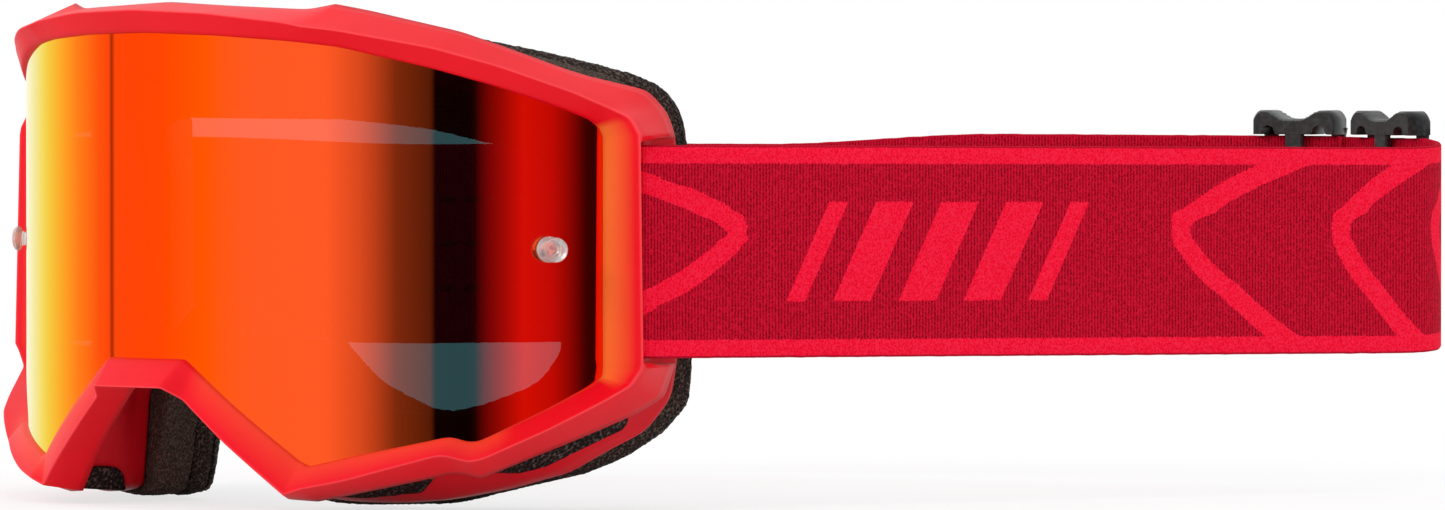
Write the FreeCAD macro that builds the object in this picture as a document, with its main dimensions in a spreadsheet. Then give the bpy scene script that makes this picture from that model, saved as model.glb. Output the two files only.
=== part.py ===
import FreeCAD, Part
import Sketcher
import math
import os

# Motocross goggles with an elastic head strap.
# Millimetres, +Z up, the wearer looks along -Y and the wearer's left is +X.
# The origin is the middle of the face opening, level with the middle of the strap.

os.makedirs("parts", exist_ok=True)
doc = FreeCAD.newDocument("goggles")
V = FreeCAD.Vector
UP = V(0, 0, 1)

# ---------------------------------------------------------------- driving sizes
SIZES = [
    ("lens_radius", 87.2, "outer radius of the cylindrical lens, axis vertical"),
    ("lens_front", -50, "y of the foremost line of the lens"),
    ("lens_thick", 1.2, "lens sheet thickness"),
    ("lens_reach", 68.1, "half angle of the visible lens"),
    ("lens_tuck", 2.5, "how far the lens sits inside its groove"),
    ("groove_gap", 0.3, "room round the edge of the lens"),
    ("rim_proud", 4, "rim crest in front of the lens"),
    ("rim_behind", 7, "rim behind the outer lens face"),
    ("rim_step", 2, "height of the bevel step of the rim"),
    ("rim_back", 24, "y of the rear edge of the front frame"),
    ("rim_half", 92, "half width of the rim outline"),
    ("rim_top", 52.5, "top of the rim"),
    ("rim_chin", -52.7, "lowest point of the rim beside the nose"),
    ("rim_nose", -28.8, "underside of the rim over the nose"),
    ("brow_x", 42.6, "corner of the brow on each side"),
    ("sight_top", 45.9, "top of the visible lens"),
    ("sight_side", 26.5, "corner height at the side of the visible lens"),
    ("sight_chin", -44.8, "lowest point of the visible lens"),
    ("sight_nose", -22.8, "visible lens over the nose"),
    ("wall_back", 28, "y where the side walls of the face frame end"),
    ("wall_half", 78, "half width over the walls of the face frame"),
    ("wall_thick", 2.5, "wall of the face frame"),
    ("flange_front", -30, "y of the front of the face flange at the middle"),
    ("flange_radius", 84, "front radius of the face flange"),
    ("flange_half", 80, "half width of the face flange"),
    ("flange_thick", 3, "face flange thickness at the middle"),
    ("flange_wide", 11, "how far the flange reaches inward"),
    ("foam_half", 73.4, "half width over the face foam"),
    ("foam_radius", 82, "front radius of the face foam"),
    ("foam_base_thick", 10, "coarse foam against the flange"),
    ("foam_mid_thick", 6, "softer foam in the middle"),
    ("fleece_thick", 3, "fleece against the skin"),
    ("foam_eye_half", 66.5, "half width of the eye opening in the foam"),
    ("foam_brow", 27.7, "top of the eye opening in the foam"),
    ("vent_thick", 3, "filter foam behind the vents"),
    ("strap_width", 45, "height of the woven strap"),
    ("strap_thick", 1.6, "thickness of the woven strap"),
    ("strap_start_x", 86.2, "where the strap leaves the frame, sideways"),
    ("strap_start_y", 10.4, "where the strap leaves the frame, fore and aft"),
    ("post_reach", 6, "tear-off post in front of the lens"),
    ("slider_long", 20, "slider along the strap"),
    ("slider_cheek", 5.5, "slider's finger grip above the strap"),
    ("slider_rim", 1.4, "slider's thin rim below the strap"),
    ("slider_gap", 0.6, "room between strap and slider bars"),
    ("bead_thick", 0.4, "silicone line printed on the strap"),
]
sheet = doc.addObject("Spreadsheet::Sheet", "Sizes")
S = {}
for row, (name, value, note) in enumerate(SIZES, start=1):
    sheet.set("A%d" % row, name)
    sheet.set("B%d" % row, str(value))
    sheet.set("C%d" % row, note)
    sheet.setAlias("B%d" % row, name)
    S[name] = value
doc.recompute()


# --------------------------------------------------------------------- helpers
def bind(obj, **exprs):
    """Bind properties to the sheet; __ in a key stands for a dot."""
    for key, text in exprs.items():
        obj.setExpression(key.replace("__", "."), text)


def fixed(sketch, kind, geo, point, value, name=None, offset=0):
    """Place one sketch point along X or Y, driven by the sheet where named."""
    number = sketch.addConstraint(Sketcher.Constraint(kind, -1, 1, geo, point, value))
    if name:
        sketch.setExpression("Constraints[%d]" % number, "%s + %s" % (name, offset))


def resolve(item):
    """A coordinate is a number or (size name, offset): value, expression, offset."""
    if isinstance(item, tuple):
        return S[item[0]] + item[1], "Sizes." + item[0], item[1]
    return item, None, 0


def outline(label, half):
    """Closed front-view outline, symmetric about x = 0, from its right half."""
    sketch = doc.addObject("Sketcher::SketchObject", label)
    sketch.Placement = FreeCAD.Placement(V(0, -60, 0), FreeCAD.Rotation(V(1, 0, 0), 90))
    corners = [(resolve(x), resolve(z), 1) for x, z in half]
    mirrored = [(x, z, -1) for x, z, _ in reversed(corners) if x[0] != 0]
    corners = corners + mirrored
    places = [V(side * x[0], z[0], 0) for x, z, side in corners]
    count = len(corners)
    for i in range(count):
        sketch.addGeometry(Part.LineSegment(places[i], places[(i + 1) % count]))
    for i in range(count):
        sketch.addConstraint(Sketcher.Constraint("Coincident", i, 2, (i + 1) % count, 1))
    for i, (x, z, side) in enumerate(corners):
        x_name = ("-%s" % x[1] if side < 0 else x[1]) if x[1] else None
        fixed(sketch, "DistanceX", i, 1, side * x[0], x_name, side * x[2])
        fixed(sketch, "DistanceY", i, 1, z[0], z[1], z[2])
    return sketch


def grown(label, sketch, amount, join="Intersection"):
    """The same outline moved outward (or inward) by an even amount."""
    shape = doc.addObject("Part::Offset2D", label)
    shape.Source = sketch
    shape.Join = join
    bind(shape, Value=amount)
    return shape


def prism(label, base, length):
    """Outline pushed straight back from well in front of the goggles."""
    solid = doc.addObject("Part::Extrusion", label)
    solid.Base = base
    solid.DirMode = "Custom"
    solid.Dir = V(0, 1, 0)
    solid.Solid = True
    bind(solid, LengthFwd=length)
    return solid


def drum(label, radius, front, reach=None):
    """Upright cylinder whose foremost line is at y = front; reach keeps a sector."""
    solid = doc.addObject("Part::Cylinder", label)
    bind(solid, Radius=radius, Placement__Base__y="%s + %s" % (front, radius))
    solid.Height = 140
    solid.Placement.Base = V(0, 0, -70)
    if reach:
        bind(solid, Angle="2 * (%s)" % reach)
        bind(solid, Placement__Rotation__Angle="-90 - (%s)" % reach)
        solid.Placement.Rotation = FreeCAD.Rotation(UP, -90 - S["lens_reach"])
    return solid


def sector(label, proud, reach):
    """Pie slice about the lens axis, proud mm outside the lens."""
    solid = doc.addObject("Part::Cylinder", label)
    solid.Height = 140
    solid.Placement = FreeCAD.Placement(V(0, 0, -70), FreeCAD.Rotation(UP, -160))
    bind(solid, Radius="Sizes.lens_radius + %s" % proud, Angle="2 * (%s)" % reach)
    bind(solid, Placement__Base__y="Sizes.lens_front + Sizes.lens_radius")
    bind(solid, Placement__Rotation__Angle="270 - (%s)" % reach)
    return solid


def cut(label, base, *tools):
    """Base less each tool in turn."""
    for number, tool in enumerate(tools):
        last = number == len(tools) - 1
        step = doc.addObject("Part::Cut", label if last else label + "_step%d" % number)
        step.Base = base
        step.Tool = tool
        base = step
    return base


def common(label, *shapes):
    solid = doc.addObject("Part::MultiCommon", label)
    solid.Shapes = list(shapes)
    return solid


def fuse(label, *shapes):
    solid = doc.addObject("Part::MultiFuse", label)
    solid.Shapes = list(shapes)
    return solid


def block(label, dx, dy, dz, place, turn=0):
    """Box centred on its own placement, turned about the vertical."""
    box = doc.addObject("Part::Box", label)
    bind(box, Length=dx, Width=dy, Height=dz)
    doc.recompute()
    middle = V(box.Length.Value / 2, box.Width.Value / 2, box.Height.Value / 2)
    spin = FreeCAD.Rotation(UP, turn)
    box.Placement = FreeCAD.Placement(V(*place) - spin.multVec(middle), spin)
    return box


# -------------------------------------------------------------------- outlines
# Front frame: a broad brow with a raised corner each side, straight sides,
# a step at the lower corner and a trapezoid cut-out for the nose.
rim_line = outline("rim_line", [
    (0, ("rim_top", 0)),
    (20, ("rim_top", -0.7)),
    (("brow_x", -6), ("rim_top", -1.6)),
    (("brow_x", 0), ("rim_top", -0.6)),
    (("brow_x", 6.4), ("rim_top", -1.7)),
    (63, ("rim_top", -6.1)),
    (77.3, ("rim_top", -15.1)),
    (84, ("rim_top", -19.5)),
    (("rim_half", 0), ("rim_top", -26)),
    (("rim_half", 0), ("rim_chin", 28.7)),
    (86, ("rim_chin", 20.4)),
    (83, ("rim_chin", 17.6)),
    (69.5, ("rim_chin", 5.9)),
    (64.5, ("rim_chin", 6.6)),
    (45, ("rim_chin", 0.9)),
    (40.7, ("rim_chin", 0)),
    (35, ("rim_chin", 1.2)),
    (10.6, ("rim_nose", -2.4)),
    (6, ("rim_nose", 0)),
    (0, ("rim_nose", 0)),
])
sight_line = outline("sight_line", [
    (0, ("sight_top", 0)),
    (18.4, ("sight_top", -0.5)),
    (44, ("sight_top", -2.8)),
    (60.5, ("sight_top", -7.4)),
    (76.8, ("sight_top", -15.7)),
    (80.5, ("sight_side", 0)),
    (100, ("sight_side", 0)),
    (100, ("sight_side", -53.3)),
    (80.9, ("sight_side", -53.3)),
    (67.2, ("sight_chin", 6.2)),
    (62.4, ("sight_chin", 7)),
    (39.2, ("sight_chin", 0)),
    (36.8, ("sight_chin", 1.3)),
    (10.8, ("sight_nose", 0)),
    (0, ("sight_nose", 0)),
])
wall_line = outline("wall_line", [
    (0, ("rim_top", -4.5)),
    (40, ("rim_top", -6)),
    (60, ("rim_top", -11)),
    (73, ("rim_top", -18.5)),
    (("wall_half", 0), ("rim_top", -25)),
    (("wall_half", 0), ("rim_chin", 27.7)),
    (74, ("rim_chin", 18.7)),
    (66, ("rim_chin", 11.7)),
    (48, ("rim_chin", 5.2)),
    (40, ("rim_chin", 4.2)),
    (33, ("rim_chin", 6.7)),
    (12, ("rim_nose", 2.8)),
    (0, ("rim_nose", 2.8)),
])
flange_line = outline("flange_line", [
    (0, ("rim_top", -3)),
    (40, ("rim_top", -4.5)),
    (58, ("rim_top", -9)),
    (70, ("rim_top", -14)),
    (77, ("rim_top", -19.5)),
    (("flange_half", 0), ("rim_top", -26)),
    (("flange_half", 0), ("rim_chin", 26.7)),
    (79, ("rim_chin", 17)),
    (76, ("rim_chin", 12.4)),
    (71, ("rim_chin", 8.6)),
    (61.4, ("rim_chin", 3.7)),
    (52, ("rim_chin", 0)),
    (45, ("rim_chin", -0.5)),
    (39, ("rim_chin", 0.3)),
    (33, ("rim_chin", 3.5)),
    (11, ("rim_nose", 1.5)),
    (0, ("rim_nose", 1.5)),
])
foam_line = outline("foam_line", [
    (0, ("rim_top", -4)),
    (41, ("rim_top", -6.5)),
    (57.5, ("rim_top", -10.9)),
    (68, ("rim_top", -15.1)),
    (72, ("rim_top", -19)),
    (("foam_half", 0), ("rim_top", -26)),
    (("foam_half", 0), ("rim_chin", 27.7)),
    (70, ("rim_chin", 15.7)),
    (66, ("rim_chin", 9.4)),
    (61, ("rim_chin", 5.5)),
    (44, ("rim_chin", -1)),
    (31, ("rim_chin", -1.3)),
    (24, ("rim_chin", 9)),
    (10, ("rim_nose", 8)),
    (0, ("rim_nose", 9)),
])

# ----------------------------------------------------------------- front frame
# One soft moulded frame: a band round the lens that stands proud of it,
# with a groove that holds the lens edge and a notch where each strap leaves.
lens_radius = "Sizes.lens_radius"
lens_front = "Sizes.lens_front"
rim_prism = prism("rim_prism", rim_line, "Sizes.rim_back + 60")
rim_outer = sector("rim_outer", "Sizes.rim_proud", "90")
rim_inner = sector("rim_inner", "0 - Sizes.rim_behind", "100")
sight_prism = prism("sight_prism", sight_line, "Sizes.rim_back + 60")
sight_sector = sector("sight_sector", "20", "Sizes.lens_reach")
sight_cut = common("sight_cut", sight_prism, sight_sector)
groove_line = grown("groove_line", sight_line, "Sizes.lens_tuck + Sizes.groove_gap", "Arc")
groove_prism = prism("groove_prism", groove_line, "Sizes.rim_back + 60")
groove_sector = sector("groove_sector", "0.1", "Sizes.lens_reach + 1.9")
groove_core = sector("groove_core", "-0.1 - Sizes.lens_thick", "100")
groove_slab = cut("groove_slab", groove_sector, groove_core)
groove_cut = common("groove_cut", groove_prism, groove_slab)
bevel_line = grown("bevel_line", sight_line, "2.6", "Arc")
bevel_prism = prism("bevel_prism", bevel_line, "Sizes.rim_back + 60")
bevel_sector = sector("bevel_sector", "20", "Sizes.lens_reach + 1.6")
bevel_core = sector("bevel_core", "Sizes.rim_step", "100")
bevel_slab = cut("bevel_slab", bevel_sector, bevel_core)
bevel_cut = common("bevel_cut", bevel_prism, bevel_slab)
notches = []
for side, word in ((1, "left"), (-1, "right")):
    notch = block("notch_" + word, "28", "24", "Sizes.strap_width + 1.2",
                  (side * 90, S["strap_start_y"] + 11.6, 0))
    notches.append(notch)
front_band = common("front_band", rim_prism, cut("rim_shell", rim_outer, rim_inner))
front_frame = cut("front_frame", front_band, sight_cut, bevel_cut, groove_cut, *notches)

# ------------------------------------------------------------------------ lens
# A single sheet bent to a cylinder; its edge sits in the groove all round.
lens_line = grown("lens_line", sight_line, "Sizes.lens_tuck", "Arc")
lens_prism = prism("lens_prism", lens_line, "Sizes.rim_back + 60")
lens_sector = sector("lens_sector", "0", "Sizes.lens_reach + 1.6")
lens_core = sector("lens_core", "0 - Sizes.lens_thick", "100")
post_holes = []
POST_ANGLE = 60
for side, word in ((1, "left"), (-1, "right")):
    hole = doc.addObject("Part::Cylinder", "post_hole_" + word)
    hole.Radius = 1.5
    hole.Height = 10
    aim = math.radians(POST_ANGLE) * side
    outward = V(math.sin(aim), -math.cos(aim), 0)
    middle = V(0, S["lens_front"] + S["lens_radius"], 0.6)
    hole.Placement = FreeCAD.Placement(middle + outward * (S["lens_radius"] - 5),
                                       FreeCAD.Rotation(UP, outward))
    post_holes.append(hole)
lens_slab = cut("lens_slab", lens_sector, lens_core)
lens_sheet = common("lens_sheet", lens_prism, lens_slab)
lens = cut("lens", lens_sheet, *post_holes)

# -------------------------------------------------------------- tear-off posts
# Clear rivets near each end of the lens; tear-off films hook on their heads.
posts = []
for side, word in ((1, "left"), (-1, "right")):
    aim = math.radians(POST_ANGLE) * side
    outward = V(math.sin(aim), -math.cos(aim), 0)
    middle = V(0, S["lens_front"] + S["lens_radius"], 0.6)
    face = middle + outward * S["lens_radius"]
    turn = FreeCAD.Rotation(UP, outward)
    pieces = []
    for part, radius, start, length in (
            ("foot", 3.2, -S["lens_thick"] - 1.2, "1"),
            ("stem", 1.5, -S["lens_thick"] - 0.5, "Sizes.post_reach + Sizes.lens_thick"),
            ("collar", 2.8, 0.1, "0.9"),
            ("head", 2.7, S["post_reach"] - 1.6, "1.6")):
        disc = doc.addObject("Part::Cylinder", "post_%s_%s" % (part, word))
        disc.Radius = radius if part != "stem" else 1.45
        bind(disc, Height=length)
        disc.Placement = FreeCAD.Placement(face + outward * start, turn)
        pieces.append(disc)
    posts.append(fuse("tear_off_post_" + word, *pieces))

# ------------------------------------------------------------------ face frame
# Walls run back from the rim to a flange that follows the face.
wall_core_line = grown("wall_core_line", wall_line, "-Sizes.wall_thick")
wall_prism = prism("wall_prism", wall_line, "Sizes.wall_back + 60")
wall_core = prism("wall_core", wall_core_line, "Sizes.wall_back + 70")
wall_front = sector("wall_front", "0 - Sizes.rim_behind", "100")
flange_rear = drum("flange_rear", "(Sizes.flange_radius - 2)",
                   "(Sizes.flange_front + Sizes.flange_thick)")
wall_slab = cut("wall_slab", wall_front, flange_rear)
wall_ring = common("wall_ring", cut("wall_tube", wall_prism, wall_core), wall_slab)
flange_core_line = grown("flange_core_line", flange_line, "-Sizes.flange_wide")
flange_prism = prism("flange_prism", flange_line, "Sizes.wall_back + 64")
flange_core = prism("flange_core", flange_core_line, "Sizes.wall_back + 70")
flange_face = drum("flange_face", "Sizes.flange_radius", "Sizes.flange_front")
flange_slab = cut("flange_slab", flange_face, flange_rear)
flange_ring = common("flange_ring", cut("flange_tube", flange_prism, flange_core), flange_slab)
arms = []
for side, word in ((1, "left"), (-1, "right")):
    arm = block("arm_" + word, "6", "8", "40", (side * 79.4, 15.2, 0))
    arms.append(arm)
vents = []
for number, (x, z, wide) in enumerate((
        (-38, 47, 16), (-13, 48, 20), (13, 48, 20), (38, 47, 16),
        (-58, -44, 14), (-42, -48, 8), (42, -48, 8), (58, -44, 14))):
    front = S["lens_front"] + S["lens_radius"] - math.sqrt(80.2 ** 2 - x ** 2)
    turn = math.degrees(math.asin(x / 82.0))
    vents.append(block("vent_cut_%d" % number, str(wide), "6", "22",
                       (x, front + 7, z), turn))
face_body = fuse("face_body", wall_ring, flange_ring, *arms)
face_frame = cut("face_frame", face_body, *vents)

# ----------------------------------------------------------------- vent filters
# Thin open-cell foam glued inside the walls, behind the vent slots.
filter_out_line = grown("filter_out_line", wall_line, "-Sizes.wall_thick - 0.05")
filter_in_line = grown("filter_in_line", wall_line, "-Sizes.wall_thick - Sizes.vent_thick")
filter_out = prism("filter_out", filter_out_line, "110")
filter_in = prism("filter_in", filter_in_line, "120")
filter_front = sector("filter_front", "-0.5 - Sizes.rim_behind", "100")
filter_rear = drum("filter_rear", "Sizes.flange_radius", "(Sizes.flange_front - 0.2)")
filter_slab = cut("filter_slab", filter_front, filter_rear)
filter_band = common("filter_band", cut("filter_tube", filter_out, filter_in), filter_slab)
filters = []
for word, place, wide in (
        ("top", (0, -30, 50), "100"),
        ("lower_left", (52, -10, -46), "34"),
        ("lower_right", (-52, -10, -46), "34")):
    window = block("window_" + word, wide, "70", "20", place)
    filters.append(common("vent_filter_" + word, filter_band, window))

# ------------------------------------------------------------------- face foam
# Three glued layers, each a ring that follows the flange.
foam_core_line = outline("foam_core_line", [
    (0, ("foam_brow", 0)),
    (29, ("foam_brow", 0)),
    (46, ("foam_brow", -1.9)),
    (56, ("foam_brow", -4.9)),
    (64, ("foam_brow", -8.2)),
    (("foam_eye_half", 0), ("foam_brow", -13.7)),
    (("foam_eye_half", 0), -21),
    (63.5, -28),
    (56, -32.3),
    (48, -34.6),
    (37, -33.8),
    (26, -28),
    (17.6, -19.5),
    (9, -12.5),
    (0, -10.5),
])
foam_prism = prism("foam_prism", foam_line, "120")
foam_core = prism("foam_core", foam_core_line, "130")
foam_tube = cut("foam_tube", foam_prism, foam_core)
base_rear = "(Sizes.flange_front + Sizes.flange_thick + Sizes.foam_base_thick)"
mid_rear = "(%s + Sizes.foam_mid_thick)" % base_rear
skin_rear = "(%s + Sizes.fleece_thick)" % mid_rear
drum_base = drum("drum_base", "(Sizes.foam_radius - 1)", base_rear)
drum_mid = drum("drum_mid", "(Sizes.foam_radius - 2)", mid_rear)
drum_skin = drum("drum_skin", "(Sizes.foam_radius - 2)", skin_rear)
layers = []
for name, front_drum, rear_drum in (
        ("face_foam_base", flange_rear, drum_base),
        ("face_foam_mid", drum_base, drum_mid),
        ("face_fleece", drum_mid, drum_skin)):
    slab = cut(name + "_slab", front_drum, rear_drum)
    layers.append(common(name, foam_tube, slab))

# ----------------------------------------------------------------------- strap
# Woven elastic. The path is walked as straight runs and left-hand bends.
LEFT_HEADING = 71
RETURN_HEADING = 197.3
RIGHT_HEADING = 262
LEFT_PATH = [("run", 190.5), ("bend", 14, 100), ("run", 21), ("bend", 8, 26.3), ("run", 36)]
RIGHT_PATH = [("run", 126.8), ("bend", 101, RIGHT_HEADING - RETURN_HEADING), ("run", 81.5)]


def walk(start, heading, steps, shift=0):
    """Edges and end of a path; shift moves it to the left of its travel."""
    edges = []
    spots = [(V(start), heading)]
    point = V(start)
    for step in steps:
        angle = math.radians(heading)
        ahead = V(math.cos(angle), math.sin(angle), 0)
        left = V(-math.sin(angle), math.cos(angle), 0)
        if step[0] == "run":
            target = point + ahead * step[1]
            edges.append((point + left * shift, target + left * shift))
        else:
            radius = step[1]
            centre = point + left * radius
            ends = []
            for share in (0, 0.5, 1):
                out = math.radians(heading + step[2] * share - 90)
                ray = V(math.cos(out), math.sin(out), 0)
                ends.append(centre + ray * (radius - shift))
                target = centre + ray * radius
            edges.append(tuple(ends))
            heading = heading + step[2]
        point = target
        spots.append((V(point), heading))
    return edges, spots


def ribbon(label, start, heading, steps, inner, outer, height):
    """Band between two left shifts of one path, centred on strap mid-height."""
    near = walk(start, heading, steps, inner)[0]
    far = walk(start, heading, steps, outer)[0]
    sketch = doc.addObject("Sketcher::SketchObject", label + "_plan")
    for run in near + far:
        if len(run) == 2:
            sketch.addGeometry(Part.LineSegment(*run))
        else:
            sketch.addGeometry(Part.ArcOfCircle(*run))
    sketch.addGeometry(Part.LineSegment(near[0][0], far[0][0]))
    sketch.addGeometry(Part.LineSegment(near[-1][-1], far[-1][-1]))
    band = doc.addObject("Part::Extrusion", label)
    band.Base = sketch
    band.DirMode = "Custom"
    band.Dir = UP
    band.Solid = True
    band.Symmetric = True
    bind(band, LengthFwd=height)
    return band


left_start = V(S["strap_start_x"], S["strap_start_y"], 0)
left_spots = walk(left_start, LEFT_HEADING, LEFT_PATH)[1]
strap_half = S["strap_thick"] / 2
strap_left = ribbon("strap_left", left_start, LEFT_HEADING, LEFT_PATH,
                    -strap_half, strap_half, "Sizes.strap_width")
# The right strap lies just inside the left one where the two overlap.
lap_start = left_spots[4][0]
lap_shift = S["strap_thick"] + 0.1
strap_right = ribbon("strap_right", lap_start, RETURN_HEADING, RIGHT_PATH,
                     lap_shift - strap_half, lap_shift + strap_half, "Sizes.strap_width")
right_spots = walk(lap_start, RETURN_HEADING, RIGHT_PATH)[1]

# Silicone lines on the inside of the strap, so that it grips the helmet.
grips = []
for word, start, heading, steps, shift in (
        ("left", left_start, LEFT_HEADING, [("run", 172)], strap_half),
        ("right", right_spots[1][0], RETURN_HEADING, [("bend", 101, 62)],
         lap_shift + strap_half)):
    if word == "left":
        start = start + (left_spots[1][0] - left_start) * 0.09
    lines = []
    for number, z in enumerate((-10, 0, 10)):
        line = ribbon("grip_%s_%d" % (word, number), start, heading, steps,
                      shift, shift + S["bead_thick"], "1.6")
        bind(line.Base, Placement__Base__z=str(z))
        lines.append(line)
    grips.append(fuse("silicone_grip_" + word, *lines))

# --------------------------------------------------------- strap clips and ends
# A moulded plate under each strap end, fixed to the arm of the face frame.
# The two ends at the back are each closed by a row of stitches.
clips = []
stitches = []
right_end, right_heading = right_spots[-1]
turn = math.radians(RETURN_HEADING)
ahead = V(math.cos(turn), math.sin(turn), 0)
left = V(-math.sin(turn), math.cos(turn), 0)
for word, along, side in (
        ("left", 32, -strap_half - 0.2),
        ("right", 28, lap_shift + strap_half + 0.2)):
    thread_at = left_spots[4][0] + ahead * along + left * side
    thread = block("strap_stitch_" + word, "2.4", "0.4", "40", tuple(thread_at),
                   RETURN_HEADING)
    stitches.append(thread)
for word, spot, heading, sign, outer in (
        ("left", left_start, LEFT_HEADING, 1, 0),
        ("right", right_end, right_heading, -1, lap_shift)):
    angle = math.radians(heading)
    ahead = V(math.cos(angle), math.sin(angle), 0) * sign
    left = V(-math.sin(angle), math.cos(angle), 0)
    plate_at = spot + ahead * 5.5 + left * (strap_half + 1.1 + outer)
    clip = block("strap_clip_" + word, "11", "2.2", "42", tuple(plate_at), heading)
    clips.append(clip)

# --------------------------------------------------------------------- sliders
# Three-bar sliders: two bars outside the strap, one inside, joined by cheeks.
sliders = []
for word, spot, heading, layers_in in (
        ("sewn", left_spots[2], None, 1),
        ("main", left_spots[4], None, 2)):
    place, heading = spot
    angle = math.radians(heading)
    ahead = V(math.cos(angle), math.sin(angle), 0)
    left = V(-math.sin(angle), math.cos(angle), 0)
    middle = place + ahead * (S["slider_long"] / 2)
    inside = strap_half + S["slider_gap"] + (lap_shift if layers_in == 2 else 0)
    outside = strap_half + S["slider_gap"]
    pieces = []
    for level, tall in ((1, "slider_cheek"), (-1, "slider_rim")):
        reach = S["strap_width"] / 2 + 0.5 + S[tall] / 2
        spot_at = middle + left * ((inside - outside) / 2) + UP * (level * reach)
        pieces.append(block("slider_%s_cheek_%d" % (word, level), "Sizes.slider_long",
                            str(inside + outside + 3.6), "Sizes." + tall,
                            tuple(spot_at), heading))
    for number, along, wide, depth in (
            (0, -S["slider_long"] / 2 + 1.8, "3.6", -outside - 0.9),
            (1, S["slider_long"] / 2 - 1.8, "3.6", -outside - 0.9),
            (2, 0, "4.5", inside + 0.9)):
        spot_at = middle + ahead * along + left * depth
        pieces.append(block("slider_%s_bar_%d" % (word, number), wide, "1.8",
                            "Sizes.strap_width + 2", tuple(spot_at), heading))
    sliders.append(fuse("slider_" + word, *pieces))

doc.recompute()

# ------------------------------------------------------------- check and write
NODES = [front_frame, face_frame, lens] + posts + filters + layers
NODES = NODES + [strap_left, strap_right] + grips + clips + stitches + sliders
for obj in doc.Objects:
    if "Invalid" in obj.State or "Error" in obj.State:
        raise RuntimeError("%s did not compute: %s" % (obj.Label, obj.State))
for node in NODES:
    shape = node.Shape
    if shape.isNull() or not shape.isValid():
        raise RuntimeError("%s has no valid shape" % node.Label)
    box = shape.BoundBox
    print("%-22s solids %d  volume %9.1f  x %.1f..%.1f y %.1f..%.1f z %.1f..%.1f" % (
        node.Label, len(shape.Solids), shape.Volume, box.XMin, box.XMax,
        box.YMin, box.YMax, box.ZMin, box.ZMax))
    shape.exportStep("parts/%s.step" % node.Label)
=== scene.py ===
# %% [markdown]
# # Motocross goggles
# A soft moulded frame holds one mirrored lens. Three foam layers seal it to the face,
# and a woven elastic strap with two slide adjusters holds it on the helmet.
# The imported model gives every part's place; this lesson gives each part its real surface.

# %% Load the frame
import bpy
import bmesh
import math
from mathutils import Vector, Matrix, noise


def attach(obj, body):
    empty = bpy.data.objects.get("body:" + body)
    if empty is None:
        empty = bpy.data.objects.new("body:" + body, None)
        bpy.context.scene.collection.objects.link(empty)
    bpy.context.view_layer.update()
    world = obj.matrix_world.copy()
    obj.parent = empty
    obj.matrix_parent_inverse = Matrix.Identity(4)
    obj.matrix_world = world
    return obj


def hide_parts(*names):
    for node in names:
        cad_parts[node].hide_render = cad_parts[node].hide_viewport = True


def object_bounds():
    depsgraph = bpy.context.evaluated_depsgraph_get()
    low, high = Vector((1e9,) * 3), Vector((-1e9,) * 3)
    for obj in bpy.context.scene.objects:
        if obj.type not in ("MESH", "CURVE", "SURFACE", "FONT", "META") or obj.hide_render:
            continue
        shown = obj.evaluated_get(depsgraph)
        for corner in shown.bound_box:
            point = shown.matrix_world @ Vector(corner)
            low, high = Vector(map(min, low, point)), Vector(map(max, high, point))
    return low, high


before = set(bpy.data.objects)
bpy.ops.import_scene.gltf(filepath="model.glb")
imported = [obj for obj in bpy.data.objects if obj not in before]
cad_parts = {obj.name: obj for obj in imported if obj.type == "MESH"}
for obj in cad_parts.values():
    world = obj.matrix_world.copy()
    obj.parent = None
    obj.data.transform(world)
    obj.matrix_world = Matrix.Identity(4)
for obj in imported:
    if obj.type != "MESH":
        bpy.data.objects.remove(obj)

MM = 0.001
cad_low, cad_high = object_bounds()

# %% [markdown]
# ## Camera
# The view is from the front left of the wearer, almost level, through a long lens.
# A long lens keeps the strap's edges nearly parallel, as in a catalogue view.

# %% Camera
AZIMUTH, ELEVATION, DISTANCE = 42.0, 1.4, 2.5   # degrees, degrees, metres
ASIDE, BELOW = 121.8, 1.0                       # how far the aim lies off the lens, mm
az, el = math.radians(AZIMUTH), math.radians(ELEVATION)
back = Vector((math.sin(az) * math.cos(el), -math.cos(az) * math.cos(el), math.sin(el)))
right = Vector((math.cos(az), math.sin(az), 0))
up = back.cross(right)
target = Vector((0, -50 * MM, 0)) + right * (ASIDE * MM) - up * (BELOW * MM)
camera = bpy.data.objects.new("camera", bpy.data.cameras.new("camera"))
bpy.context.scene.collection.objects.link(camera)
camera.location = target + back * DISTANCE
camera.rotation_euler = back.to_track_quat("Z", "Y").to_euler()
camera.data.sensor_width = 36
camera.data.lens = 295.0
camera.data.clip_end = 30
bpy.context.scene.camera = camera
bpy.context.scene.view_settings.view_transform = "Standard"
print("camera at", [round(c, 3) for c in camera.location])

# %% [markdown]
# ## Helpers
# Most pieces here are rings: a cross-section that changes as it runs round the lens.
# Each ring is made from rails. A rail is one closed line round the ring, and the
# surface is stretched from each rail to the next. Rails are given for the right half
# and mirrored.


# %% Places
LENS_R = 87.2    # outer radius of the lens, mm
LENS_Y = 37.2    # its upright axis lies this far behind the origin


def on_lens(deg, z, off):
    """A place by its angle round the lens, height and distance outside the lens face."""
    a, r = math.radians(deg), LENS_R + off
    return Vector((r * math.sin(a), LENS_Y - r * math.cos(a), z)) * MM


def on_face(radius):
    """A map from width, height and foremost line to a cylinder that follows the face."""
    def place(x, z, front):
        return Vector((x, front + radius - math.sqrt(radius ** 2 - x ** 2), z)) * MM
    return place


print("lens face at", [round(c, 4) for c in on_lens(0, 0, 0)])


# %% Rails
def whole(half):
    """Right half of a rail, from top middle to bottom middle, made into a closed loop."""
    return list(half) + [(-p[0],) + tuple(p[1:]) for p in reversed(half[1:-1])]


def mix(a, b, t):
    """A line of points part of the way from one line to another."""
    return [tuple(u + (v - u) * t for u, v in zip(p, q)) for p, q in zip(a, b)]


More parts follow.
